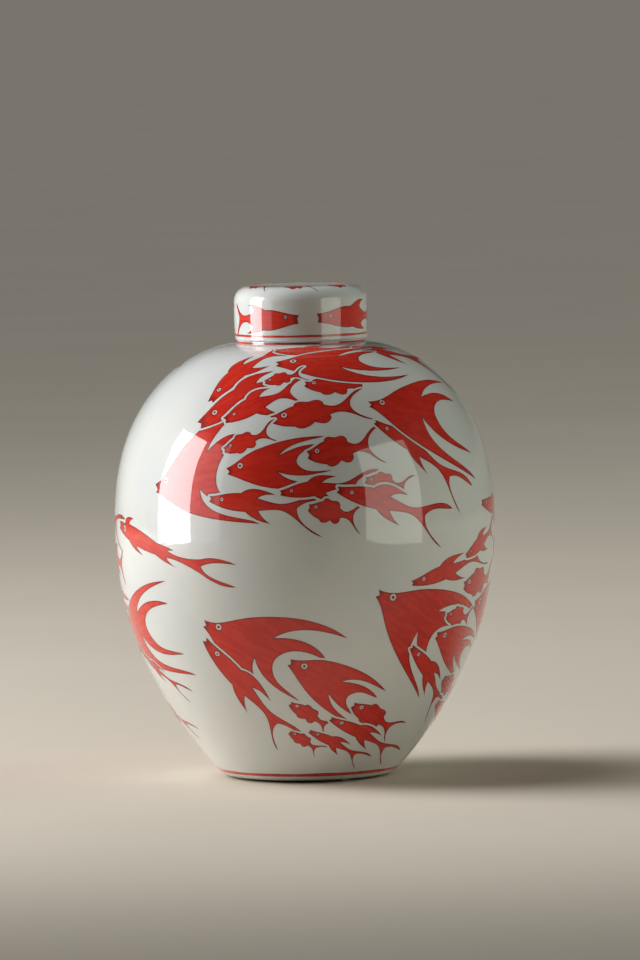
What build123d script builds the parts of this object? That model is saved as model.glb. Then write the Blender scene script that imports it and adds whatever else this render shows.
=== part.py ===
from build123d import *
import os

# A lidded porcelain ginger jar. Millimetres, +Z up, +X to the right, -Y to the front.
# The origin is the centre of the base, on the plane that the jar stands on.
# Outlines are half sections, drawn as (radius, height) and turned round the Z axis.

# Driving dimensions
OVERALL_HEIGHT = 350.0
WALL = 5.5

# Foot ring and the clear pads under it
PAD_HEIGHT = 1.5
PAD_RADIUS = 3.2
PAD_EDGE_RADIUS = 0.9
PAD_CENTRE_RADIUS = 53.0
PAD_COUNT = 3
FIRST_PAD_ANGLE = -62.0
FOOT_OUTER_RADIUS = 56.5
FOOT_INNER_RADIUS = 49.5
RECESS_TOP_RADIUS = 48.0
RECESS_HEIGHT = 8.0
RECESS_CORNER_RADIUS = 2.5

# Outside of the belly and shoulder, from the top of the foot to the seat
BELLY = [
    (64.0, 5.0),
    (84.5, 30.0),
    (106.2, 65.0),
    (125.2, 110.0),
    (135.0, 178.0),
    (128.0, 235.0),
    (106.3, 275.0),
    (77.6, 299.0),
    (46.0, 308.8),
]

# Inside of the jar
FLOOR_HEIGHT = 14.5
CAVITY_STEPS = 14
THROAT_RADIUS = 5.0

# Seat for the lid, and the neck that stands inside the lid
SEAT_RADIUS = 45.6
SEAT_HEIGHT = 310.8
SEAT_EDGE_RADIUS = 0.6
NECK_RADIUS = 41.5
NECK_BORE_RADIUS = 37.0
NECK_HEIGHT = 336.0
NECK_RIM_RADIUS = 2.0
NECK_ROOT_RADIUS = 1.0

# Lid
LID_RIM_RADIUS = 46.7
LID_RIM_EDGE_RADIUS = 1.4
LID_WIDEST_RADIUS = 47.4
LID_WIDEST_HEIGHT = 330.0
LID_EDGE_DROP = 1.4
LID_CORNER_RADIUS = 11.0
LID_BORE_RADIUS = 43.3
LID_TOP_THICKNESS = 4.4
LID_CEILING_CORNER_RADIUS = 7.5


def round_corner(profile, point, radius):
    """Round the corner of a half section that lies at the given radius and height."""
    corner = min(profile.vertices(), key=lambda vertex: (Vector(vertex) - Vector(*point)).length)
    return fillet(corner, radius)


def turn(profile):
    """Turn a half section round the Z axis."""
    return revolve(Plane.XZ * profile, Axis.Z, 360)


def jar_outside():
    """Solid form of the jar, from its foot ring up to the rim of its neck."""
    belly = Spline(BELLY)
    foot_edge = TangentArc(BELLY[0], (FOOT_OUTER_RADIUS, PAD_HEIGHT), tangent=(belly % 0) * -1)
    rest = Polyline(
        BELLY[-1],
        (SEAT_RADIUS, SEAT_HEIGHT),
        (NECK_RADIUS, SEAT_HEIGHT),
        (NECK_RADIUS, NECK_HEIGHT),
        (0, NECK_HEIGHT),
        (0, PAD_HEIGHT),
        (FOOT_OUTER_RADIUS, PAD_HEIGHT),
    )
    profile = make_face(belly + foot_edge + rest)
    profile = round_corner(profile, (SEAT_RADIUS, SEAT_HEIGHT), SEAT_EDGE_RADIUS)
    profile = round_corner(profile, (NECK_RADIUS, SEAT_HEIGHT), NECK_ROOT_RADIUS)
    profile = round_corner(profile, (NECK_RADIUS, NECK_HEIGHT), NECK_RIM_RADIUS)
    return turn(profile)


def jar_cavity():
    """Space inside the jar: a flat floor, the belly one wall thickness in, and the throat."""
    belly = Spline(BELLY)
    inner_belly = []
    for step in range(1, CAVITY_STEPS + 1):
        point = belly @ (step / CAVITY_STEPS)
        direction = belly % (step / CAVITY_STEPS)
        inner_belly.append((point.X - direction.Y * WALL, point.Y + direction.X * WALL))
    low_point = inner_belly[0]
    low_direction = belly % (1 / CAVITY_STEPS)
    bend_radius = (low_point[1] - FLOOR_HEIGHT) / (1 - low_direction.X)
    floor_edge = (low_point[0] - bend_radius * low_direction.Y, FLOOR_HEIGHT)
    bend = TangentArc(floor_edge, low_point, tangent=(1, 0))
    above_rim = NECK_HEIGHT + WALL
    throat_foot = (NECK_BORE_RADIUS, inner_belly[-1][1])
    rest = Polyline(
        inner_belly[-1],
        throat_foot,
        (NECK_BORE_RADIUS, above_rim),
        (0, above_rim),
        (0, FLOOR_HEIGHT),
        floor_edge,
    )
    profile = make_face(Spline(inner_belly) + bend + rest)
    return turn(round_corner(profile, throat_foot, THROAT_RADIUS))


def foot_recess():
    """Hollow under the jar, inside its foot ring."""
    profile = make_face(
        Polyline(
            (0, 0),
            (FOOT_INNER_RADIUS, 0),
            (FOOT_INNER_RADIUS, PAD_HEIGHT),
            (RECESS_TOP_RADIUS, RECESS_HEIGHT),
            (0, RECESS_HEIGHT),
            close=True,
        )
    )
    return turn(round_corner(profile, (RECESS_TOP_RADIUS, RECESS_HEIGHT), RECESS_CORNER_RADIUS))


def jar_body():
    """The whole jar without its lid, one fired piece."""
    jar = jar_outside() - jar_cavity() - foot_recess()
    rim_inner_edge = jar.edges().filter_by(GeomType.CIRCLE).filter_by(
        lambda edge: abs(edge.radius - NECK_BORE_RADIUS) < 0.01
    ).sort_by(Axis.Z)[-1]
    return fillet(rim_inner_edge, NECK_RIM_RADIUS)


def lid():
    """Cap that drops over the neck and rests on the seat."""
    edge_height = OVERALL_HEIGHT - LID_EDGE_DROP
    side = ThreePointArc(
        (LID_RIM_RADIUS, SEAT_HEIGHT),
        (LID_WIDEST_RADIUS, LID_WIDEST_HEIGHT),
        (LID_RIM_RADIUS, edge_height),
    )
    top = TangentArc(
        (0, OVERALL_HEIGHT), (LID_RIM_RADIUS, edge_height), tangent=(1, 0)
    )
    ceiling_height = OVERALL_HEIGHT - LID_TOP_THICKNESS
    inside = Polyline(
        (0, OVERALL_HEIGHT),
        (0, ceiling_height),
        (LID_BORE_RADIUS, ceiling_height),
        (LID_BORE_RADIUS, SEAT_HEIGHT),
        (LID_RIM_RADIUS, SEAT_HEIGHT),
    )
    profile = make_face(side + top + inside)
    profile = round_corner(profile, (LID_RIM_RADIUS, edge_height), LID_CORNER_RADIUS)
    profile = round_corner(profile, (LID_RIM_RADIUS, SEAT_HEIGHT), LID_RIM_EDGE_RADIUS)
    profile = round_corner(profile, (LID_BORE_RADIUS, ceiling_height), LID_CEILING_CORNER_RADIUS)
    return turn(profile)


def foot_pad():
    """Clear stick-on pad with a rounded lower edge, standing on the origin plane."""
    pad = Cylinder(PAD_RADIUS, PAD_HEIGHT, align=(Align.CENTER, Align.CENTER, Align.MIN))
    return fillet(pad.edges().sort_by(Axis.Z)[0], PAD_EDGE_RADIUS)


nodes = {"jar_body": jar_body(), "lid": lid()}
for number in range(PAD_COUNT):
    angle = FIRST_PAD_ANGLE + number * 360 / PAD_COUNT
    place = Rot(0, 0, angle) * Pos(PAD_CENTRE_RADIUS, 0, 0)
    nodes[f"foot_pad_{number + 1}"] = place * foot_pad()

os.makedirs("parts", exist_ok=True)
for name, solid in nodes.items():
    export_step(solid, f"parts/{name}.step")
    print(name, round(solid.volume / 1000, 2), "cm3")
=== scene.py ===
from math import cos, pi, radians, sin

import bpy
import numpy as np
from mathutils import Matrix, Vector, geometry


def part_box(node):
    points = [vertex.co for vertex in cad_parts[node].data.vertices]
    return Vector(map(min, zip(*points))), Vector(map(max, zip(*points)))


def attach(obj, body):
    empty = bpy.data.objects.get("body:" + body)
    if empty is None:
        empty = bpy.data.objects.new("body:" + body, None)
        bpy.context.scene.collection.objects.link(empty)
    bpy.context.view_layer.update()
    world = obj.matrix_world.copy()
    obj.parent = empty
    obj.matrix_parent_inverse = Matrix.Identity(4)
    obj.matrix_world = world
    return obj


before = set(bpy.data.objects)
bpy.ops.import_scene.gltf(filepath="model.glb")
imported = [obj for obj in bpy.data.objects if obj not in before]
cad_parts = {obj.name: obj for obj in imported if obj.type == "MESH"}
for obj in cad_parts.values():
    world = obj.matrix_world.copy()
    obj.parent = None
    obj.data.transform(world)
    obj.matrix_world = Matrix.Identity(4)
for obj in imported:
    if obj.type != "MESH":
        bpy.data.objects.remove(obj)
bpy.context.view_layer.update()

# A lidded porcelain ginger jar with shoals of iron-red fish painted over a white glaze.
# The clay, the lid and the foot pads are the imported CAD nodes, with finished materials.
# The painting is built here: each shoal is a few thin skins of enamel that lie on the glaze.
# Blender objects are in metres. Outlines and paint sizes are in millimetres, and turn to
# metres where a mesh is made. Azimuth 0 is the front (-Y) and grows to the right (+X).
# Climb is the distance along a wall's outline, in millimetres, from its lower end.

MM = 0.001

# ---------------------------------------------------------------- curves and walls

# A spline's slope at each end is that of the curve through so many points there
END_POINTS = 4


def knot_slopes(knots, gaps):
    """Slopes at the points of a spline that keep its bend even through each point."""
    count = len(knots)
    reach = np.concatenate([[0], np.cumsum(gaps)])
    rises = np.diff(knots, axis=0) / gaps[:, None]
    matrix = np.eye(count)
    wanted = np.zeros((count, 2))
    few = min(END_POINTS, count)
    for row, near in ((0, slice(0, few)), (count - 1, slice(count - few, count))):
        for axis in (0, 1):
            curve = np.polyfit(reach[near] - reach[row], knots[near, axis], few - 1)
            wanted[row, axis] = curve[-2]
    for i in range(1, count - 1):
        matrix[i, i - 1 : i + 2] = gaps[i], 2 * (gaps[i - 1] + gaps[i]), gaps[i - 1]
        wanted[i] = 3 * (gaps[i] * rises[i - 1] + gaps[i - 1] * rises[i])
    return np.linalg.solve(matrix, wanted)


def spline(points, step):
    """Points about one step apart on the smooth cubic curve through the given points."""
    knots = np.array(points, float)
    gaps = np.hypot(*np.diff(knots, axis=0).T)
    if len(knots) == 2:
        shares = np.linspace(0, 1, max(2, int(gaps[0] / step) + 1))
        return knots[0] + np.outer(shares, knots[1] - knots[0])
    slopes = knot_slopes(knots, gaps)
    curve = [knots[:1]]
    for i, gap in enumerate(gaps):
        u = np.linspace(0, 1, max(2, int(gap / step) + 1) + 1)[1:, None]
        start = (2 * u**3 - 3 * u**2 + 1) * knots[i] + (u**3 - 2 * u**2 + u) * gap * slopes[i]
        end = (3 * u**2 - 2 * u**3) * knots[i + 1] + (u**3 - u**2) * gap * slopes[i + 1]
        curve.append(start + end)
    return np.concatenate(curve)


def arc(centre, radius, start, end, steps):
    """Points on a circular arc between two angles in degrees."""
    angles = np.radians(np.linspace(start, end, steps))
    return centre + radius * np.stack([np.cos(angles), np.sin(angles)], 1)


def direction(vector):
    """Angle of a vector in degrees."""
    return np.degrees(np.arctan2(vector[1], vector[0]))


# Outside of the jar from its foot to the seat of the lid, as (radius, height)
JAR_OUTLINE = [
    (64.0, 5.0),
    (84.5, 30.0),
    (106.2, 65.0),
    (125.2, 110.0),
    (135.0, 178.0),
    (128.0, 235.0),
    (106.3, 275.0),
    (77.6, 299.0),
    (46.0, 308.8),
]
OUTLINE_STEP = 0.5

# The low upright step that the lid sits on, below its rounded edge, as (radius, height)
COLLAR_OUTLINE = [(46.0, 308.8), (45.88, 309.4), (45.72, 310.2)]

# Outside of the lid. Its side is narrower at both ends than at its middle, its top is
# domed, and a rounded corner joins them. The outline stops short of the top's middle.
LID_LOW, LID_HIGH = (corner.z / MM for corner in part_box("lid"))
LID_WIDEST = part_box("lid")[1].x / MM
LID_NARROWING = 0.7
LID_DOME = 1.4
LID_CORNER_RADIUS = 11.0
LID_HOLE = 1.5
LONG_ARC_STEPS = 60
CORNER_STEPS = 40


def lid_outline():
    """Outside of the lid from its lower edge to near the middle of its top."""
    rim = LID_WIDEST - LID_NARROWING
    edge_height = LID_HIGH - LID_DOME
    half_height = (edge_height - LID_LOW) / 2
    middle = LID_LOW + half_height
    side_radius = (half_height**2 + LID_NARROWING**2) / (2 * LID_NARROWING)
    top_radius = (rim**2 + LID_DOME**2) / (2 * LID_DOME)
    side_reach = side_radius - LID_CORNER_RADIUS
    top_reach = top_radius - LID_CORNER_RADIUS
    # The corner's centre is one reach from the centre of each of the two long arcs
    side_centre = np.array([LID_WIDEST - side_radius, middle])
    top_centre = np.array([0.0, LID_HIGH - top_radius])
    apart = top_centre - side_centre
    span = np.hypot(*apart)
    along = (side_reach**2 - top_reach**2 + span**2) / (2 * span)
    across = np.sqrt(side_reach**2 - along**2)
    ahead = apart / span
    centre = side_centre + along * ahead + across * np.array([-ahead[1], ahead[0]])
    to_side = direction(centre - side_centre)
    to_top = direction(centre - top_centre)
    low = np.degrees(np.arcsin((LID_LOW - middle) / side_radius))
    high = np.degrees(np.arccos(LID_HOLE / top_radius))
    side = arc(side_centre, side_radius, low, to_side, LONG_ARC_STEPS)
    corner = arc(centre, LID_CORNER_RADIUS, to_side, to_top, CORNER_STEPS)
    top = arc(top_centre, top_radius, to_top, high, LONG_ARC_STEPS)
    return np.concatenate([side, corner[1:], top[1:]])


class Wall:
    """A surface turned round the Z axis, with a flat chart that keeps angles true.

    A chart point is a complex number: azimuth + i * rise, where rise grows by distance over
    radius. A shape drawn in the chart keeps its form on the wall, and shrinks with its radius.
    """

    def __init__(self, outline, body):
        self.body = body
        self.radius, self.height = outline.T
        steps = np.hypot(*np.diff(outline, axis=0).T)
        mean_radius = (self.radius[1:] + self.radius[:-1]) / 2
        self.climb = np.concatenate([[0], np.cumsum(steps)])
        self.rise = np.concatenate([[0], np.cumsum(steps / mean_radius)])
        along = np.gradient(outline, self.climb, axis=0)
        self.out, self.up = along[:, 1], -along[:, 0]

    def chart(self, azimuth, climb):
        """Chart point at an azimuth in degrees and a climb."""
        return np.radians(azimuth) + 1j * np.interp(climb, self.climb, self.rise)

    def scale(self, points):
        """Millimetres on the wall for one unit of the chart."""
        return np.interp(points.imag, self.rise, self.radius)

    def normals(self, points):
        """Unit normals, pointing out of the wall."""
        out = np.interp(points.imag, self.rise, self.out)
        up = np.interp(points.imag, self.rise, self.up)
        normals = np.stack([out * np.sin(points.real), -out * np.cos(points.real), up], 1)
        return normals / np.linalg.norm(normals, axis=1)[:, None]

    def places(self, points, lift):
        """Positions in metres, lifted off the wall by so many millimetres."""
        radius = self.scale(points)
        height = np.interp(points.imag, self.rise, self.height)
        flat = np.stack([radius * np.sin(points.real), -radius * np.cos(points.real), height], 1)
        return (flat + self.normals(points) * lift) * MM


jar_wall = Wall(spline(JAR_OUTLINE, OUTLINE_STEP), "jar")
collar_wall = Wall(np.array(COLLAR_OUTLINE), "jar")
lid_wall = Wall(lid_outline(), "lid")

# ---------------------------------------------------------------- kinds of fish

# Each kind is drawn with its mouth at (0, 0) and the fork of its tail at (1, 0). The outline
# is a loop of strokes. A stroke is a smooth curve from the end of the one before, so strokes
# meet in corners. The eye is (x, y, radius).
KINDS = {
    "angel": {
        "start": (0.0, -0.035),
        "strokes": [
            [(0.035, 0.0)],
            [(-0.015, 0.045)],
            [(0.10, 0.075), (0.38, 0.27), (0.74, 0.49), (1.15, 0.64), (1.66, 0.66)],
            [(1.32, 0.59), (1.04, 0.46), (0.86, 0.27)],
            [(1.08, 0.37), (1.33, 0.40), (1.60, 0.31)],
            [(1.34, 0.30), (1.10, 0.20), (1.0, 0.02), (1.07, -0.14), (1.27, -0.25), (1.58, -0.33)],
            [(1.27, -0.31), (0.98, -0.23), (0.76, -0.06)],
            [(0.82, -0.24), (1.08, -0.41), (1.62, -0.58)],
            [(1.15, -0.50), (0.68, -0.38), (0.28, -0.19), (0.07, -0.06), (0.0, -0.035)],
        ],
        "eye": (0.19, 0.065, 0.038),
    },
    "moonfish": {
        "start": (0.0, -0.04),
        "strokes": [
            [(0.03, -0.005)],
            [(-0.01, 0.045)],
            [(0.10, 0.085), (0.30, 0.19), (0.58, 0.27), (0.92, 0.31), (1.42, 0.27)],
            [(1.10, 0.245), (0.90, 0.20), (0.74, 0.10)],
            [(0.95, 0.165), (1.15, 0.185), (1.38, 0.15)],
            [(1.16, 0.12), (1.03, 0.07), (0.97, -0.02), (1.02, -0.12), (1.16, -0.19), (1.42, -0.225)],
            [(1.15, -0.235), (0.90, -0.20), (0.70, -0.12)],
            [(0.85, -0.25), (1.05, -0.32), (1.44, -0.34)],
            [(1.05, -0.39), (0.75, -0.36), (0.40, -0.25), (0.10, -0.09), (0.0, -0.04)],
        ],
        "eye": (0.19, 0.05, 0.038),
    },
    "bream": {
        "start": (0.0, -0.06),
        "strokes": [
            [(0.03, -0.005)],
            [(-0.005, 0.05)],
            [(0.10, 0.085), (0.20, 0.135), (0.29, 0.165)],
            [(0.315, 0.215), (0.40, 0.225), (0.47, 0.205), (0.55, 0.215), (0.66, 0.155)],
            [(0.66, 0.12), (0.70, 0.085)],
            [(0.82, 0.06), (0.94, 0.12), (1.06, 0.22), (1.26, 0.28)],
            [(1.11, 0.20), (1.02, 0.11), (0.985, 0.01)],
            [(1.01, -0.10), (1.08, -0.19), (1.22, -0.30)],
            [(1.05, -0.20), (0.94, -0.11), (0.82, -0.065), (0.70, -0.085)],
            [(0.70, -0.15), (0.63, -0.205), (0.55, -0.185), (0.50, -0.155)],
            [(0.44, -0.205), (0.34, -0.225), (0.27, -0.18)],
            [(0.17, -0.155), (0.07, -0.11), (0.0, -0.06)],
        ],
        "eye": (0.16, 0.035, 0.034),
    },
    "mackerel": {
        "start": (0.0, -0.03),
        "strokes": [
            [(0.02, 0.0)],
            [(-0.005, 0.025)],
            [(0.12, 0.05), (0.27, 0.085), (0.38, 0.095)],
            [(0.44, 0.135), (0.56, 0.155), (0.78, 0.115)],
            [(0.67, 0.105), (0.61, 0.085), (0.575, 0.062)],
            [(0.72, 0.038), (0.86, 0.03), (0.97, 0.055), (1.12, 0.11), (1.40, 0.125)],
            [(1.20, 0.085), (1.09, 0.045), (1.03, -0.005)],
            [(1.06, -0.09), (1.16, -0.18), (1.34, -0.27)],
            [(1.12, -0.175), (0.98, -0.085), (0.86, -0.04), (0.72, -0.045), (0.60, -0.065)],
            [(0.65, -0.12), (0.76, -0.185)],
            [(0.61, -0.16), (0.51, -0.125), (0.45, -0.088)],
            [(0.28, -0.088), (0.12, -0.065), (0.0, -0.03)],
        ],
        "eye": (0.155, 0.01, 0.02),
    },
    "mullet": {
        "start": (0.0, -0.045),
        "strokes": [
            [(0.02, 0.0)],
            [(0.0, 0.05)],
            [(0.06, 0.07), (0.13, 0.085)],
            [(0.13, 0.14), (0.17, 0.185), (0.26, 0.205)],
            [(0.21, 0.16), (0.20, 0.115)],
            [(0.30, 0.125), (0.45, 0.115), (0.58, 0.08)],
            [(0.66, 0.085), (0.76, 0.075)],
            [(0.72, 0.055), (0.70, 0.045)],
            [(0.84, 0.03), (0.95, 0.06), (1.08, 0.12), (1.22, 0.15), (1.44, 0.14)],
            [(1.22, 0.10), (1.10, 0.055), (1.02, 0.0)],
            [(1.09, -0.08), (1.24, -0.13), (1.48, -0.16)],
            [(1.18, -0.17), (0.98, -0.09), (0.85, -0.045), (0.70, -0.055)],
            [(0.73, -0.10), (0.81, -0.145)],
            [(0.70, -0.13), (0.64, -0.11), (0.58, -0.08)],
            [(0.46, -0.10), (0.34, -0.105)],
            [(0.37, -0.145), (0.44, -0.19)],
            [(0.33, -0.175), (0.26, -0.14), (0.22, -0.10)],
            [(0.12, -0.085), (0.0, -0.045)],
        ],
        "eye": (0.12, 0.02, 0.022),
    },
    "perch": {
        "start": (0.0, -0.07),
        "strokes": [
            [(0.015, 0.0)],
            [(-0.01, 0.07)],
            [(0.10, 0.085), (0.30, 0.15), (0.46, 0.16)],
            [(0.53, 0.20), (0.62, 0.245), (0.77, 0.235)],
            [(0.69, 0.205), (0.66, 0.16), (0.67, 0.12)],
            [(0.76, 0.07), (0.86, 0.05), (0.95, 0.09), (1.02, 0.17), (1.10, 0.27)],
            [(1.05, 0.13), (1.01, 0.04), (1.0, 0.0)],
            [(1.01, -0.06), (1.05, -0.14), (1.12, -0.28)],
            [(1.02, -0.17), (0.94, -0.09), (0.85, -0.055), (0.69, -0.12)],
            [(0.73, -0.17), (0.81, -0.21)],
            [(0.68, -0.21), (0.58, -0.19), (0.50, -0.16)],
            [(0.30, -0.15), (0.10, -0.09), (0.0, -0.07)],
        ],
        "eye": (0.17, 0.03, 0.021),
    },
}


def fish(kind, mouth, fork, back=1.0, belly=1.0, bend=0.0, reach=1.0):
    """One painted fish, from its mouth to the fork of its tail, both as (azimuth, climb).

    Back and belly stretch the drawing's upper and lower half. Both below zero turn the fish
    over. The bend is in degrees; above zero, the tail turns anticlockwise. Reach stretches
    what lies behind the fork.
    """
    return dict(
        kind=kind, mouth=mouth, fork=fork, back=back, belly=belly, bend=bend, reach=reach
    )


def level_fish(kind, climb, mouth, fork, back, belly):
    """A fish with its mouth and fork at the same climb, at two azimuths."""
    return fish(kind, (mouth, climb), (fork, climb), back, belly)


def ends(wall, one):
    """Chart points of a fish's mouth and of the fork of its tail."""
    return wall.chart(*one["mouth"]), wall.chart(*one["fork"])


def placed(wall, one, drawn):
    """Chart points of a fish for points (x, y) in its own drawing."""
    mouth, fork = ends(wall, one)
    x = np.where(drawn[:, 0] > 1, 1 + (drawn[:, 0] - 1) * one["reach"], drawn[:, 0])
    y = drawn[:, 1] * np.where(drawn[:, 1] > 0, one["back"], one["belly"])
    if one["bend"]:
        turn = radians(one["bend"])
        arm = 1 / turn - y
        curved = arm * np.sin(x * turn) + 1j * (1 / turn - arm * np.cos(x * turn))
        tail = (np.sin(turn) + 1j * (1 - np.cos(turn))) / turn
        return mouth + (fork - mouth) * curved / tail
    return mouth + (fork - mouth) * (x + 1j * y)


def length_of(wall, one):
    """Length of a fish on the wall from mouth to fork, in millimetres."""
    mouth, fork = ends(wall, one)
    return abs(fork - mouth) * wall.scale(np.array([(mouth + fork) / 2]))[0]


def drawn_outline(kind, step):
    """Closed outline of a kind of fish, as points (x, y) in its own drawing."""
    here = KINDS[kind]["start"]
    parts = []
    for stroke in KINDS[kind]["strokes"]:
        parts.append(spline([here, *stroke], step)[:-1])
        here = stroke[-1]
    return np.concatenate(parts)


# ---------------------------------------------------------------- skins of enamel

# Heights of a skin's top and underside over the glaze
PAINT_LIFT = 0.07
PAINT_DEPTH = -0.10
# Distance between points along an outline, and the least distance that it keeps
EDGE_STEP = 0.9
CLOSE_STEP = EDGE_STEP / 4
# Distance between points inside an outline, on each body
INSIDE_STEP = {"jar": 3.0, "lid": 1.6}
# White gap that the paint keeps round a fish that lies over it
HALO = 1.6
# Every fourth point of an outline is tried, to see whether another fish comes so near
TRIED_POINT = 4
MEETING_RANGE = 3 * HALO
# Distance from the edge of the paint to the row of points where its darker line ends
LINE_WIDTH = 0.9
# Least room, in line widths, of that row of points and of the points farther in
ROW_ROOM = 0.93
GRID_ROOM = 1.6
# A part of a fish is painted where it covers more than this area in square millimetres, and
# more than this share of the fish's largest part
SMALLEST_SCRAP = 3.0
SCRAP_SHARE = 0.12
# Points round an eye, and the pupil's share of the eye's radius
EYE_STEPS = 20
PUPIL_SHARE = 0.45
# A rounded corner has one point for so many degrees
CORNER_TURN = 25
# The points of a moved loop are at least the gap over this number apart
GAP_PARTS = 3
# Distance between rows of a hexagon grid, in steps
HEXAGON_ROW = 0.866
# Points nearer each other than this become one
SAME_POINT = 1e-4
# Most fish in one skin
FISH_IN_SKIN = 7
# A fish's tone grows by these steps, for each fish before it and each letter of its shoal's
# name, and starts again from 0 at 1
FISH_TONE = 0.618034
LETTER_TONE = 0.37
# Measures that the enamel's material reads
MEASURES = ("edge", "along", "across", "tone")


def inside(points, loop):
    """True for each complex point that lies inside a closed loop."""
    x, y = points.real[:, None], points.imag[:, None]
    following = np.roll(loop, -1)
    crossed = (loop.imag > y) != (following.imag > y)
    rise = following.imag - loop.imag
    rise = np.where(rise == 0, 1, rise)
    reach = loop.real + (y - loop.imag) / rise * (following.real - loop.real)
    return (crossed & (x < reach)).sum(axis=1) % 2 == 1


def distance(points, loop):
    """Distance from each complex point to the nearest side of a closed loop."""
    side = np.roll(loop, -1) - loop
    away = points[:, None] - loop
    share = np.clip((away * side.conj()).real / np.abs(side) ** 2, 0, 1)
    return np.abs(away - share * side).min(axis=1)


def depth(points, loop):
    """Distance from each point to the edge of a closed loop; below zero outside it."""
    return np.where(inside(points, loop), 1, -1) * distance(points, loop)


def moved_out(loop, gap):
    """A loop moved outwards by a gap, or inwards where it is negative, with round corners.

    Its surplus inner loops all lie nearer the first loop than the gap.
    """
    side = np.roll(loop, -1) - loop
    area = (loop.conj() * np.roll(loop, -1)).imag.sum()
    normal = -1j * np.sign(area) * side / np.abs(side)
    moved = []
    for i, corner in enumerate(loop):
        before, after = normal[i - 1], normal[i]
        angle = np.angle(after / before)
        steps = max(1, int(abs(angle) / radians(CORNER_TURN)))
        if angle * area * gap < 0:
            steps = 1
        for j in range(steps + 1):
            moved.append(corner + gap * before * np.exp(1j * angle * j / steps))
    return thinned(np.array(moved), abs(gap) / GAP_PARTS)


def thinned(loop, step):
    """A loop without the points that lie nearer than a step to the point before."""
    kept = [loop[0]]
    for point in loop[1:]:
        if abs(point - kept[-1]) > step:
            kept.append(point)
    return np.array(kept)


def ring(centre, radius):
    """Closed loop of points round a centre, for an eye."""
    return centre + radius * np.exp(2j * np.pi * np.arange(EYE_STEPS) / EYE_STEPS)


def hexagon_grid(loop, step):
    """Evenly spread points over the box round a loop."""
    rows = np.arange(loop.imag.min(), loop.imag.max(), step * HEXAGON_ROW)
    columns = np.arange(loop.real.min(), loop.real.max(), step)
    shifts = np.arange(len(rows)) % 2 * step / 2
    grid = columns[None, :] + 1j * rows[:, None] + shifts[:, None]
    return grid.ravel()


def triangulated(loops, loose):
    """Triangles over closed loops and loose points, as (complex corners, index rows)."""
    links = []
    start = 0
    for loop in loops:
        count = len(loop)
        links += [(start + i, start + (i + 1) % count) for i in range(count)]
        start += count
    points = np.concatenate([*loops, loose])
    spots = [Vector((p.real, p.imag)) for p in points]
    made = geometry.delaunay_2d_cdt(spots, links, [], 0, SAME_POINT)
    return np.array([complex(*spot) for spot in made[0]]), np.array(made[2])


def areas_of(corners, triangles):
    """Area of each triangle, below zero where its corners run clockwise."""
    a, b, c = (corners[triangles[:, i]] for i in range(3))
    return ((b - a).conj() * (c - a)).imag / 2


def without_scraps(corners, triangles):
    """Triangles without the joined groups that cover less than the smallest scrap."""
    group = np.arange(len(corners))
    while True:
        lowest = group[triangles].min(axis=1)
        before = group.copy()
        np.minimum.at(group, triangles.ravel(), np.repeat(lowest, 3))
        if (group == before).all():
            break
    areas = np.abs(areas_of(corners, triangles))
    total = np.bincount(group[triangles[:, 0]], areas, len(corners))
    smallest = max(SMALLEST_SCRAP, SCRAP_SHARE * total.max())
    return triangles[total[group[triangles[:, 0]]] > smallest]


class Plan:
    """Flat plan of one fish in millimetres. Its loops and points are complex numbers.

    The paint fills the outline, but for a gap round each fish that lies over it and for
    the white of the eye round the pupil.
    """

    def __init__(self, wall, one, later):
        chart = self.charted(wall, one)
        self.middle = chart.mean()
        self.size = wall.scale(np.array([self.middle]))[0]
        self.outline = thinned(self.flat(chart), CLOSE_STEP)
        loops = [self.flat(self.charted(wall, other)) for other in later]
        self.over = [thinned(loop, CLOSE_STEP) for loop in loops if self.meets(loop)]
        eye_x, eye_y, eye_size = KINDS[one["kind"]]["eye"]
        spots = np.array([[0.0, 0.0], [1.0, 0.0], [eye_x, eye_y]])
        self.mouth, self.fork, eye = self.flat(placed(wall, one, spots))
        eye_radius = eye_size * length_of(wall, one)
        self.eye = ring(eye, eye_radius)
        self.pupil = ring(eye, eye_radius * PUPIL_SHARE)

    @staticmethod
    def charted(wall, one):
        """Outline of a fish in the wall's chart, with points about an edge step apart."""
        return placed(wall, one, drawn_outline(one["kind"], EDGE_STEP / length_of(wall, one)))

    def flat(self, chart):
        """Points on the plan for points in the wall's chart."""
        return (chart - self.middle) * self.size

    def meets(self, loop):
        """True where the outline comes near or crosses another fish's."""
        points = self.outline[::TRIED_POINT]
        return (distance(points, loop) < MEETING_RANGE).any() or inside(points, loop).any()

    def room(self, points):
        """Distance to the nearest edge of the paint; below zero where there is none."""
        space = depth(points, self.outline)
        for loop in self.over:
            space = np.minimum(space, -depth(points, loop) - HALO)
        return np.minimum(space, np.maximum(-depth(points, self.eye), depth(points, self.pupil)))

    def edges(self):
        """Loops along the edges of the paint."""
        halos = [moved_out(loop, HALO) for loop in self.over]
        return [self.outline, self.eye, self.pupil, *halos]

    def inner_points(self, step):
        """Points in the paint: a row along its edges, and an even grid farther in."""
        rows = [moved_out(self.outline, -LINE_WIDTH)]
        rows += [moved_out(loop, HALO + LINE_WIDTH) for loop in self.over]
        rows.append(moved_out(self.eye, LINE_WIDTH))
        near = np.concatenate(rows)
        near = near[self.room(near) > LINE_WIDTH * ROW_ROOM]
        far = hexagon_grid(self.outline, step)
        far = far[self.room(far) > LINE_WIDTH * GRID_ROOM]
        return np.concatenate([near, far])


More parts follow.
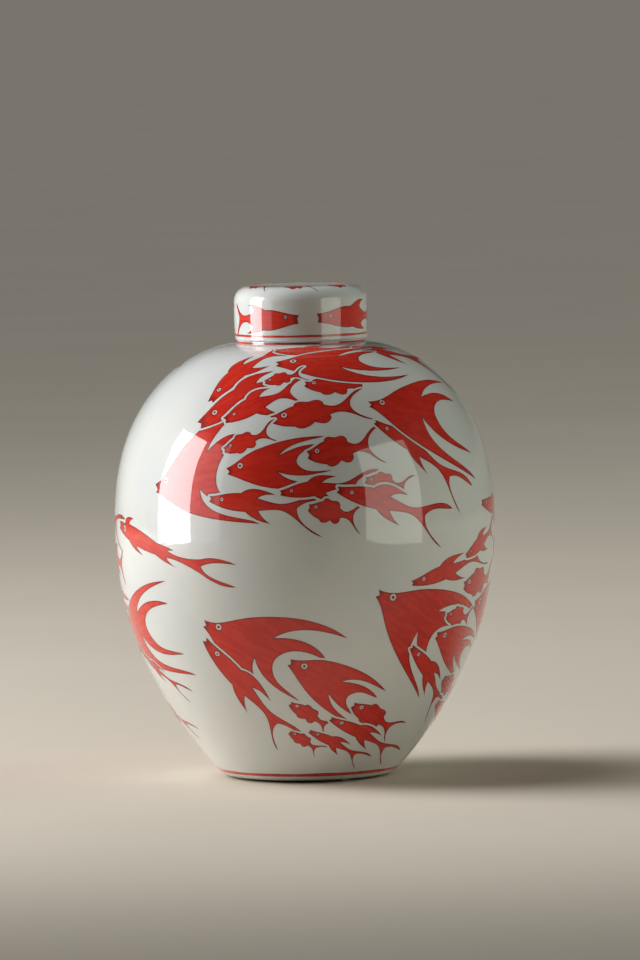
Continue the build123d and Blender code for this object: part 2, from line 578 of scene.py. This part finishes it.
def painted_fish(wall, one, later):
    """Chart points, triangles and paint measures of one fish, cut clear of the fish over it."""
    plan = Plan(wall, one, later)
    corners, triangles = triangulated(plan.edges(), plan.inner_points(INSIDE_STEP[wall.body]))
    triangles = triangles[plan.room(corners[triangles].mean(axis=1)) > 0]
    in_pupil = inside(corners[triangles].mean(axis=1), plan.pupil)
    body_part = without_scraps(corners, triangles[~in_pupil])
    if not len(body_part):
        return None
    triangles = np.concatenate([body_part, triangles[in_pupil]])
    used, triangles = np.unique(triangles, return_inverse=True)
    triangles = triangles.reshape(-1, 3)
    corners = corners[used]
    backwards = areas_of(corners, triangles) < 0
    triangles[backwards] = triangles[backwards][:, ::-1]
    along = (corners - plan.mouth) / (plan.fork - plan.mouth)
    return {
        "chart": corners / plan.size + plan.middle,
        "triangles": triangles,
        "edge": np.maximum(plan.room(corners), 0),
        "along": along.real,
        "across": along.imag,
    }


def open_edges(triangles):
    """Directed edges that only one triangle has."""
    edges = np.concatenate([triangles[:, [0, 1]], triangles[:, [1, 2]], triangles[:, [2, 0]]])
    keys = set(map(tuple, edges.tolist()))
    return [edge for edge in edges.tolist() if (edge[1], edge[0]) not in keys]


def read(items, label, kind, size=1):
    """One value, or so many values, of each of a mesh's items, as one array."""
    values = np.empty(len(items) * size, kind)
    items.foreach_get(label, values)
    return values


def shade(mesh, wall_normals):
    """Shade the top like the wall under it, and the underside and the sides flat."""
    corners = read(mesh.loops, "vertex_index", int)
    firsts = read(mesh.polygons, "loop_start", int)
    sizes = read(mesh.polygons, "loop_total", int)
    flat = read(mesh.polygons, "normal", float, 3).reshape(-1, 3)
    shading = np.repeat(flat, sizes, axis=0)
    on_top = (sizes == 3) & (corners[firsts] < len(wall_normals))
    top = np.repeat(on_top, sizes)
    shading[top] = wall_normals[corners[top]]
    mesh.shade_smooth()
    mesh.normals_split_custom_set(shading.tolist())


def skin(name, wall, parts):
    """One closed piece of enamel from painted parts: a top, a buried underside and thin sides."""
    chart = np.concatenate([part["chart"] for part in parts])
    total = len(chart)
    faces, sides = [], []
    start = 0
    for part in parts:
        triangles = part["triangles"] + start
        faces += triangles.tolist() + (triangles[:, ::-1] + total).tolist()
        sides += [(b, a, a + total, b + total) for a, b in open_edges(triangles)]
        start += len(part["chart"])
    places = np.concatenate([wall.places(chart, PAINT_LIFT), wall.places(chart, PAINT_DEPTH)])
    mesh = bpy.data.meshes.new(name)
    mesh.from_pydata(places.tolist(), [], faces + sides)
    for label in MEASURES:
        values = [np.broadcast_to(part[label], len(part["chart"])) for part in parts]
        layer = mesh.attributes.new(label, "FLOAT", "POINT")
        layer.data.foreach_set("value", np.tile(np.concatenate(values), 2).astype(np.float32))
    shade(mesh, wall.normals(chart))
    mesh.materials.append(enamel)
    piece = bpy.data.objects.new(name, mesh)
    bpy.context.collection.objects.link(piece)
    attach(piece, wall.body)


def painted(wall, shoal):
    """The parts of a shoal; each fish lies over the ones before it, with a gap round it."""
    parts = [painted_fish(wall, one, shoal[number + 1 :]) for number, one in enumerate(shoal)]
    return [part for part in parts if part]


def paint_shoal(name, wall, parts, turn):
    """Lay the parts of a shoal on the wall, turned by so many radians, as a few skins."""
    laid = []
    for number, part in enumerate(parts):
        tone = (number * FISH_TONE + len(name) * LETTER_TONE + turn) % 1
        laid.append(dict(part, chart=part["chart"] + turn, tone=tone))
    count = -(-len(laid) // FISH_IN_SKIN)
    for number in range(count):
        share = laid[len(laid) * number // count : len(laid) * (number + 1) // count]
        skin(f"paint_{name}_{number + 1}", wall, share)


# Points round a painted line, and its rows of points in shares of its width
LINE_STEPS = 360
LINE_ROWS = np.array([-0.5, -0.2, 0.2, 0.5])
# A line's sways as (millimetres, number of waves), and how much its width swells with them
SLOW_SWAY = (0.05, 3)
QUICK_SWAY = (0.04, 11)
LINE_SWELL = 2
# Its darker edge is so many times thinner than a fish's
LINE_INK = 3.0
# Its brush strokes are this many degrees long, and start where a fish's dark mouth is past
STROKE_ANGLE = 20
STROKE_START = 0.5


def paint_line(name, wall, climb, width, tone):
    """A brushed line right round the wall, a little uneven in width."""
    azimuth = np.linspace(-180, 180, LINE_STEPS, endpoint=False)
    turn = np.radians(azimuth)
    slow = SLOW_SWAY[0] * np.sin(SLOW_SWAY[1] * turn + tone)
    sway = slow + QUICK_SWAY[0] * np.sin(QUICK_SWAY[1] * turn)
    swell = 1 + LINE_SWELL * sway
    rows = [wall.chart(azimuth, climb + row * width * swell + sway) for row in LINE_ROWS]
    chart = np.stack(rows)
    index = np.arange(chart.size).reshape(chart.shape)
    following = np.roll(index, -1, axis=1)
    lower = np.stack([index[:-1], following[:-1], following[1:]], -1).reshape(-1, 3)
    upper = np.stack([index[:-1], following[1:], index[1:]], -1).reshape(-1, 3)
    edge = np.broadcast_to((LINE_INK * (0.5 - np.abs(LINE_ROWS)) * width)[:, None], chart.shape)
    along = np.broadcast_to(np.abs(azimuth) / STROKE_ANGLE + STROKE_START, chart.shape)
    part = {
        "chart": chart.ravel(),
        "triangles": np.concatenate([lower, upper]),
        "edge": edge.ravel(),
        "along": along.ravel(),
        "across": np.zeros(chart.size),
        "tone": tone,
    }
    skin("line_" + name, wall, [part])


# ---------------------------------------------------------------- materials

# Colours are linear red, green, blue and alpha
COOL_WHITE = (0.735, 0.765, 0.745, 1)
WARM_WHITE = (0.775, 0.785, 0.750, 1)
IRON_SPECK = (0.16, 0.12, 0.09, 1)
DARK_CLAY = (0.60, 0.53, 0.43, 1)
PALE_CLAY = (0.74, 0.68, 0.58, 1)
DEEP_RED = (0.61, 0.021, 0.012, 1)
FULL_RED = (0.74, 0.032, 0.016, 1)
THIN_RED = (0.80, 0.045, 0.022, 1)
INK_RED = (0.17, 0.010, 0.010, 1)
CLEAR_PLASTIC = (0.88, 0.90, 0.88, 1)
PLASTIC_DUST = (0.66, 0.64, 0.58, 1)
DEEP_SAND = (0.66, 0.60, 0.505, 1)
PALE_SAND = (0.72, 0.655, 0.555, 1)
# Painted shade: the floor's darker colour far in front of the jar
PAINTED_SHADE_SAND = (0.36, 0.325, 0.275, 1)
# Fired surfaces have a glossy clear coat
GLOSS = {
    "Coat Weight": 1.0,
    "Coat Roughness": 0.03,
    "Coat IOR": 1.5,
    "Specular IOR Level": 0.1,
    "IOR": 1.5,
}
# Sizes here are in metres, but for the edge measure, which is in millimetres. Below the
# first height the foot ring is bare clay, and above the second it is glazed. The border
# wanders up and down by so much.
CLAY_TOP = 0.0020
GLAZE_FOOT = 0.0026
BORDER_WANDER = 0.0005
GLAZE_BUMP = 0.0004
ENAMEL_BUMP = 0.00003
# How strongly the specks show in the glaze, and the clay's grain in its bump
SPECK_STRENGTH = 0.55
CLAY_GRAIN = 0.25
# Brush streaks for one length of a fish, along it and across it, and their change with tone
STREAKS_ALONG = 2.2
STREAKS_ACROSS = 14.0
STREAKS_BY_TONE = 37.0
# Shares of the streaks and the blots in the wash, and of the thin red at the highest tone
STREAK_SHARE = 0.65
BLOT_SHARE = 0.35
THIN_SHARE = 0.35
# Painted shade on the floor: its colour darkens from the second of these places towards the first, in
# front of the jar
PAINTED_SHADE_FULL = -1.1
PAINTED_SHADE_START = -0.35


def node(tree, kind, values=None, **settings):
    """Add a shader node. Each value is a constant or an output of another node."""
    made = tree.nodes.new("ShaderNode" + kind)
    for name, value in settings.items():
        setattr(made, name, value)
    for name, value in (values or {}).items():
        if isinstance(value, bpy.types.NodeSocket):
            tree.links.new(value, made.inputs[name])
        else:
            made.inputs[name].default_value = value
    return made


def new_material(name, constants):
    """A material with one Principled shader, and constants set on its sockets."""
    material = bpy.data.materials.new(name)
    material.use_nodes = True
    tree = material.node_tree
    shader = tree.nodes["Principled BSDF"]
    for socket, value in constants.items():
        shader.inputs[socket].default_value = value
    return material, tree, shader


def ramp(tree, value, low, high, to_low=0.0, to_high=1.0):
    """Output that goes smoothly from to_low to to_high as the value goes from low to high."""
    values = {"Value": value, "From Min": low, "From Max": high}
    values.update({"To Min": to_low, "To Max": to_high})
    return node(tree, "MapRange", values, interpolation_type="SMOOTHSTEP").outputs["Result"]


def calculated(tree, operation, first, second):
    """Output of one sum on two values."""
    made = node(tree, "Math", {0: first, 1: second}, operation=operation)
    return made.outputs["Value"]


def times(tree, first, second):
    """Output of a multiplication."""
    return calculated(tree, "MULTIPLY", first, second)


def plus(tree, first, second):
    """Output of an addition."""
    return calculated(tree, "ADD", first, second)


def mixed(tree, share, first, second):
    """Output colour between two colours."""
    made = tree.nodes.new("ShaderNodeMix")
    made.data_type = "RGBA"
    for place, value in ((0, share), (6, first), (7, second)):
        if isinstance(value, bpy.types.NodeSocket):
            tree.links.new(value, made.inputs[place])
        else:
            made.inputs[place].default_value = value
    return made.outputs[2]


def noise(tree, vector, scale, detail=2.0, roughness=0.5):
    """Output of a noise texture, about 0.5 on average."""
    values = {"Vector": vector, "Scale": scale, "Detail": detail, "Roughness": roughness}
    return node(tree, "TexNoise", values).outputs["Fac"]


def bumped(tree, shader, height, distance):
    """Give the shader a bump from a height, with the distance in metres."""
    bump = node(tree, "Bump", {"Height": height, "Distance": distance})
    tree.links.new(bump.outputs["Normal"], shader.inputs["Normal"])


def specks(tree, place):
    """Output that is 1 on small rare specks and 0 elsewhere."""
    cells = node(tree, "TexVoronoi", {"Vector": place, "Scale": 48.0}, feature="F1")
    chosen = node(tree, "SeparateColor", {0: cells.outputs["Color"]}).outputs[0]
    size = ramp(tree, chosen, low=0.80, high=1.0, to_low=0.0, to_high=0.030)
    return calculated(tree, "LESS_THAN", cells.outputs["Distance"], size)


def glaze_material():
    """White glaze with a cool cast, rare iron specks, and bare clay where it was wiped off."""
    material, tree, shader = new_material("white_porcelain", GLOSS)
    place = node(tree, "TexCoord").outputs["Object"]
    height = node(tree, "SeparateXYZ", {0: place}).outputs["Z"]
    cloud = ramp(tree, noise(tree, place, scale=22.0, detail=3.0), low=0.35, high=0.65)
    white = mixed(tree, cloud, COOL_WHITE, WARM_WHITE)
    speckled = mixed(tree, times(tree, specks(tree, place), SPECK_STRENGTH), white, IRON_SPECK)
    grit = noise(tree, place, scale=900.0, detail=4.0, roughness=0.7)
    grit = ramp(tree, grit, low=0.35, high=0.75)
    clay = mixed(tree, grit, DARK_CLAY, PALE_CLAY)
    wander = noise(tree, place, scale=90.0)
    wander = ramp(tree, wander, low=0.3, high=0.7, to_low=-BORDER_WANDER, to_high=BORDER_WANDER)
    bare = ramp(tree, plus(tree, height, wander), CLAY_TOP, GLAZE_FOOT, to_low=1.0, to_high=0.0)
    roughness = ramp(tree, bare, low=0.0, high=1.0, to_low=0.22, to_high=0.85)
    coat = ramp(tree, bare, low=0.0, high=1.0, to_low=1.0, to_high=0.0)
    tree.links.new(mixed(tree, bare, speckled, clay), shader.inputs["Base Color"])
    tree.links.new(roughness, shader.inputs["Roughness"])
    tree.links.new(coat, shader.inputs["Coat Weight"])
    waves = noise(tree, place, scale=16.0, detail=1.0)
    grain = times(tree, times(tree, grit, bare), CLAY_GRAIN)
    bumped(tree, shader, plus(tree, waves, grain), GLAZE_BUMP)
    return material


def enamel_material():
    """Iron-red enamel: brushed along each fish, darker in its outline and at its mouth."""
    material, tree, shader = new_material("iron_red_enamel", GLOSS)
    place = node(tree, "TexCoord").outputs["Object"]
    measures = [node(tree, "Attribute", attribute_name=name).outputs["Fac"] for name in MEASURES]
    edge, along, across, tone = measures
    stroke = {
        "X": times(tree, along, STREAKS_ALONG),
        "Y": times(tree, across, STREAKS_ACROSS),
        "Z": times(tree, tone, STREAKS_BY_TONE),
    }
    stroke = node(tree, "CombineXYZ", stroke).outputs["Vector"]
    streaks = noise(tree, stroke, scale=1.0, detail=3.0, roughness=0.6)
    blots = noise(tree, place, scale=120.0, detail=3.0, roughness=0.6)
    wash = plus(tree, times(tree, streaks, STREAK_SHARE), times(tree, blots, BLOT_SHARE))
    body = mixed(tree, ramp(tree, wash, low=0.36, high=0.64), DEEP_RED, FULL_RED)
    body = mixed(tree, times(tree, tone, THIN_SHARE), body, THIN_RED)
    ragged = noise(tree, place, scale=700.0)
    ragged = ramp(tree, ragged, low=0.3, high=0.7, to_low=-0.2, to_high=0.2)
    ink = ramp(tree, plus(tree, edge, ragged), low=0.35, high=0.95, to_low=0.75, to_high=0.0)
    mouth = ramp(tree, along, low=0.02, high=0.10, to_low=0.7, to_high=0.0)
    dark = calculated(tree, "MAXIMUM", ink, mouth)
    roughness = ramp(tree, wash, low=0.3, high=0.7, to_low=0.20, to_high=0.34)
    tree.links.new(mixed(tree, dark, body, INK_RED), shader.inputs["Base Color"])
    tree.links.new(roughness, shader.inputs["Roughness"])
    bumped(tree, shader, wash, ENAMEL_BUMP)
    return material


def pad_material():
    """Clear soft plastic of the foot pads, with fine dust on it."""
    constants = {"Transmission Weight": 0.45, "IOR": 1.48, "Specular IOR Level": 0.5}
    material, tree, shader = new_material("clear_polyurethane", constants)
    place = node(tree, "TexCoord").outputs["Object"]
    dust = ramp(tree, noise(tree, place, scale=1800.0, detail=3.0), low=0.45, high=0.75)
    roughness = ramp(tree, dust, low=0.0, high=1.0, to_low=0.10, to_high=0.45)
    tree.links.new(mixed(tree, dust, CLEAR_PLASTIC, PLASTIC_DUST), shader.inputs["Base Color"])
    tree.links.new(roughness, shader.inputs["Roughness"])
    return material


def floor_material():
    """Plain pale matt floor, with painted shade that darkens its colour softly far in front of the
    jar.
    """
    constants = {"Roughness": 0.9, "Specular IOR Level": 0.0}
    material, tree, shader = new_material("pale_floor", constants)
    place = node(tree, "TexCoord").outputs["Object"]
    pale = mixed(tree, noise(tree, place, scale=3.0, detail=4.0), DEEP_SAND, PALE_SAND)
    back = node(tree, "SeparateXYZ", {0: place}).outputs["Y"]
    # Painted shade: the floor's colour turns darker far in front of the jar
    colour = mixed(tree, ramp(tree, back, PAINTED_SHADE_FULL, PAINTED_SHADE_START), PAINTED_SHADE_SAND, pale)
    tree.links.new(colour, shader.inputs["Base Color"])
    return material


enamel = enamel_material()

# ---------------------------------------------------------------- the painting

UPPER = [
    fish("angel", (-51.0, 224.7), (-27.5, 231), 1.6, 1.0, 0, 0.9),
    fish("mackerel", (30, 357), (76, 326), 1.0, 1.1),
    fish("mackerel", (-36.2, 291), (-18, 343.6), 1.3, 1.3, -25),
    fish("mackerel", (-37.5, 272.5), (-0.8, 318.5), 1.4, 1.3, -15),
    fish("mackerel", (-27.8, 276.6), (-5.5, 299.9), 1.7, 1.6, -10),
    fish("mackerel", (-17.5, 350), (33, 352), 1.2, 1.9),
    fish("bream", (1.0, 307.5), (25.2, 303.5), 0.95, 0.95),
    fish("moonfish", (-12.8, 329), (32, 332), 1.0, 0.95),
    fish("bream", (-15.8, 309.6), (-1.2, 317.0), 1.1, 1.1),
    fish("bream", (-11.0, 277.5), (18.0, 287.0), 0.8, 0.8),
    fish("bream", (-26.0, 254.4), (-11.8, 266.8), 0.95, 0.95),
    fish("moonfish", (-24.0, 239.1), (-1.5, 247.3), 1.0, 1.0),
    fish("bream", (1.2, 250.8), (21.5, 256.0), 1.05, 1.05),
    fish("mackerel", (-29.5, 219.9), (-3.0, 213.5), 1.1, 1.1),
    fish("mackerel", (-7.2, 224.2), (15.2, 229.3), 1.1, 1.1),
    fish("bream", (1.2, 213.9), (14.8, 206.5), 1.15, 1.15),
    fish("bream", (18.8, 231.8), (31.8, 225.1), 1.1, 1.1),
    fish("mackerel", (10.0, 225.6), (37.8, 205.5), 1.25, 1.0),
    fish("mackerel", (25.0, 273.4), (49.8, 231.5), 1.05, 0.82),
    fish("angel", (24.8, 287.5), (52.3, 275), 0.95, 1.15),
]
LOWER = [
    fish("angel", (-34.2, 130.8), (-11.5, 102.5), 1.12, 1.15),
    fish("mackerel", (-35.0, 119.3), (-13.6, 53.5), 1.0, 1.0),
    fish("moonfish", (-6.2, 102.0), (16.2, 73.5), 1.25, 1.0),
    fish("bream", (-7.0, 69.1), (7.5, 49.5), 0.9, 0.9),
    fish("bream", (17.8, 66.3), (39.0, 43.5), 0.9, 0.9),
    fish("mackerel", (9.0, 55.4), (41.2, 26), 0.9, 0.9),
    fish("bream", (-8.5, 44.2), (3.5, 28.2), 0.95, 0.95),
    fish("mackerel", (0.2, 44.8), (24.0, 21.9), 1.0, 1.0),
]
SIDE = [
    fish("angel", (22.2, 151.6), (45, 117), 1.0, 1.15),
    fish("mackerel", (33.8, 157.5), (63.5, 173.0), 0.85, 0.85, 8),
    fish("mackerel", (57.0, 173.0), (77, 188.5), 1.1, 1.1),
    fish("bream", (57.2, 152.1), (79.0, 153.7), 0.9, 0.9),
    fish("bream", (50.2, 131.6), (64, 127.4), 1.05, 1.05),
    fish("moonfish", (67, 136), (94, 128), 1.1, 1.1),
    fish("moonfish", (47.2, 117.1), (69, 101), 1.1, 1.0),
    fish("mackerel", (37.0, 110.5), (61.5, 67), 0.9, 0.9),
    fish("bream", (60.8, 81.5), (78, 66), 1.0, 1.0),
    fish("perch", (66, 60), (84, 47), 1.0, 1.0),
    fish("mackerel", (68, 209), (98, 198), 0.9, 0.9),
    fish("perch", (84, 176), (104, 168), 1.0, 1.0),
    fish("angel", (88.6, 114.5), (116.4, 124.4), 0.71, 1.18),
    fish("mackerel", (100, 104), (121.5, 81.5), 0.7, 0.7),
    fish("mackerel", (82, 66), (109.0, 46.5), 0.7, 0.7),
    fish("mullet", (105.0, 196.8), (146.5, 172.5), 0.60, 0.46, 0, 0.64),
]
# Two long fish face each other at the front of the lid, and the same two at its back
LID_SIDE_CLIMB = 16.4
LID_SIDE = []
for turned in (0, 180):
    LID_SIDE.append(level_fish("perch", LID_SIDE_CLIMB, turned - 2, turned - 66, -0.72, -0.95))
    LID_SIDE.append(level_fish("perch", LID_SIDE_CLIMB, turned + 14.5, turned + 86, 0.8, 0.74))
# Small fish follow each other round the lid's top
LID_TOP_CLIMB = 46.0
LID_TOP_COUNT = 7
LID_TOP_START = -2
LID_TOP = []
for number in range(LID_TOP_COUNT):
    turned = 360 / LID_TOP_COUNT * number + LID_TOP_START
    LID_TOP.append(level_fish("bream", LID_TOP_CLIMB, turned - 16, turned + 13, 1.6, 1.6))


def paint_jar():
    """All the painting on the jar: the same shoals twice, on opposite sides."""
    for name, shoal in (("upper", UPPER), ("lower", LOWER), ("side", SIDE)):
        parts = painted(jar_wall, shoal)
        paint_shoal(f"{name}_a", jar_wall, parts, turn=0)
        paint_shoal(f"{name}_b", jar_wall, parts, turn=pi)
    paint_line("foot", jar_wall, climb=1.65, width=2.9, tone=0.4)
    paint_line("collar", collar_wall, climb=0.75, width=1.3, tone=0.9)


def paint_lid():
    """All the painting on the lid."""
    paint_shoal("lid_side", lid_wall, painted(lid_wall, LID_SIDE), turn=0)
    paint_shoal("lid_top", lid_wall, painted(lid_wall, LID_TOP), turn=0)
    paint_line("lid", lid_wall, climb=3.9, width=1.5, tone=0.2)


# ---------------------------------------------------------------- stage, lights and camera

FLOOR_RADIUS = 150.0
FLOOR_CORNER_TURN = 6
CAMERA_PLACE = Vector((0.0, -5.7, 0.605))
CAMERA_AIM = Vector((0.0115, 0.0, 0.2099))
CAMERA_LENS = 301.6
CAMERA_ROLL = radians(1.1)
DAYLIGHT = (1.0, 1.0, 1.02)
FILL_LIGHT = (0.97, 1.0, 0.88)
HORIZON_COLOUR = (0.20, 0.20, 0.17, 1)
CEILING_COLOUR = (0.030, 0.032, 0.029, 1)
SKY_PLACE = (-3, 0.3, 5)
SKY_STRENGTH = 0.9
SKY_SPREAD = radians(30)
# Each panel of light as azimuth, distance, width, bottom, top and glow. The window and the
# fill light the jar. The other three only show as reflections in its gloss.
PANELS = {
    "window": (-99, 2.4, 1.5, 0.30, 2.3, 9.6),
    "window_pane": (-83, 1.45, 0.66, 0.02, 1.16, 12.5),
    "window_curtain": (-60, 1.45, 0.48, 0.02, 1.16, 1.3),
    "far_window": (54, 1.25, 0.82, 0.02, 1.0, 2.2),
    "fill": (92, 3.2, 2.4, 0.35, 2.6, 2.3),
}


def add_floor():
    """A wide pale floor under the pads."""
    corners = []
    for azimuth in range(0, 360, FLOOR_CORNER_TURN):
        turn = radians(azimuth)
        corners.append((FLOOR_RADIUS * cos(turn), FLOOR_RADIUS * sin(turn), 0))
    mesh = bpy.data.meshes.new("floor")
    mesh.from_pydata(corners, [], [list(range(len(corners)))])
    mesh.materials.append(floor_material())
    floor = bpy.data.objects.new("floor", mesh)
    bpy.context.collection.objects.link(floor)


def add_light(name, kind, place, aim, energy, colour, **settings):
    """A light at a place, pointing at another."""
    data = bpy.data.lights.new(name, kind)
    data.energy = energy
    data.color = colour
    for setting, value in settings.items():
        setattr(data, setting, value)
    light = bpy.data.objects.new(name, data)
    bpy.context.collection.objects.link(light)
    light.location = place
    light.rotation_euler = (Vector(aim) - Vector(place)).to_track_quat("-Z", "Y").to_euler()
    light.visible_camera = False
    return light


def add_panel(name, colour):
    """An upright glowing panel that faces the jar, like a window. Glow is its radiance."""
    azimuth, away, width, bottom, top, glow = PANELS[name]
    turn = radians(azimuth)
    middle = (bottom + top) / 2
    place = (away * sin(turn), -away * cos(turn), middle)
    energy = glow * pi * width * (top - bottom)
    sizes = {"shape": "RECTANGLE", "size": width, "size_y": top - bottom}
    return add_light(name, "AREA", place, (0, 0, middle), energy, colour, **sizes)


def add_room():
    """A dim room with a pale band along its horizon."""
    world = bpy.data.worlds.new("room")
    world.use_nodes = True
    tree = world.node_tree
    outward = node(tree, "TexCoord").outputs["Generated"]
    height = node(tree, "SeparateXYZ", {0: outward}).outputs["Z"]
    band = ramp(tree, height, low=0.05, high=0.18)
    colour = mixed(tree, band, HORIZON_COLOUR, CEILING_COLOUR)
    tree.links.new(colour, tree.nodes["Background"].inputs["Color"])
    bpy.context.scene.world = world


def add_lights():
    """Daylight from a tall window at the left, with a faint second one at the right."""
    sky = add_light("sky", "SUN", SKY_PLACE, (0, 0, 0), SKY_STRENGTH, DAYLIGHT, angle=SKY_SPREAD)
    window = add_panel("window", DAYLIGHT)
    panes = [add_panel("window_pane", DAYLIGHT), add_panel("window_curtain", DAYLIGHT)]
    panes.append(add_panel("far_window", FILL_LIGHT))
    fill = add_panel("fill", FILL_LIGHT)
    for light in (sky, window, fill):
        light.visible_glossy = False
    for light in panes:
        light.visible_diffuse = False
    add_room()
    bpy.context.scene.view_settings.view_transform = "Standard"


def add_camera():
    """The photograph's view: a long lens a little above the jar, tilted slightly."""
    data = bpy.data.cameras.new("camera")
    data.lens = CAMERA_LENS
    data.clip_end = 2 * FLOOR_RADIUS
    camera = bpy.data.objects.new("camera", data)
    bpy.context.collection.objects.link(camera)
    back = (CAMERA_PLACE - CAMERA_AIM).normalized()
    right = Vector((0, 0, 1)).cross(back).normalized()
    up = back.cross(right)
    tilted_up = up * cos(CAMERA_ROLL) + right * sin(CAMERA_ROLL)
    tilted_right = tilted_up.cross(back)
    turn = Matrix((tilted_right, tilted_up, back)).transposed().to_4x4()
    camera.matrix_world = Matrix.Translation(CAMERA_PLACE) @ turn
    bpy.context.scene.camera = camera


def finish_clay():
    """Give the CAD nodes their finished materials."""
    glaze, clear = glaze_material(), pad_material()
    for name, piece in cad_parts.items():
        for slot in piece.material_slots:
            slot.material = clear if name.startswith("foot_pad") else glaze


finish_clay()
paint_jar()
paint_lid()
add_floor()
add_lights()
add_camera()
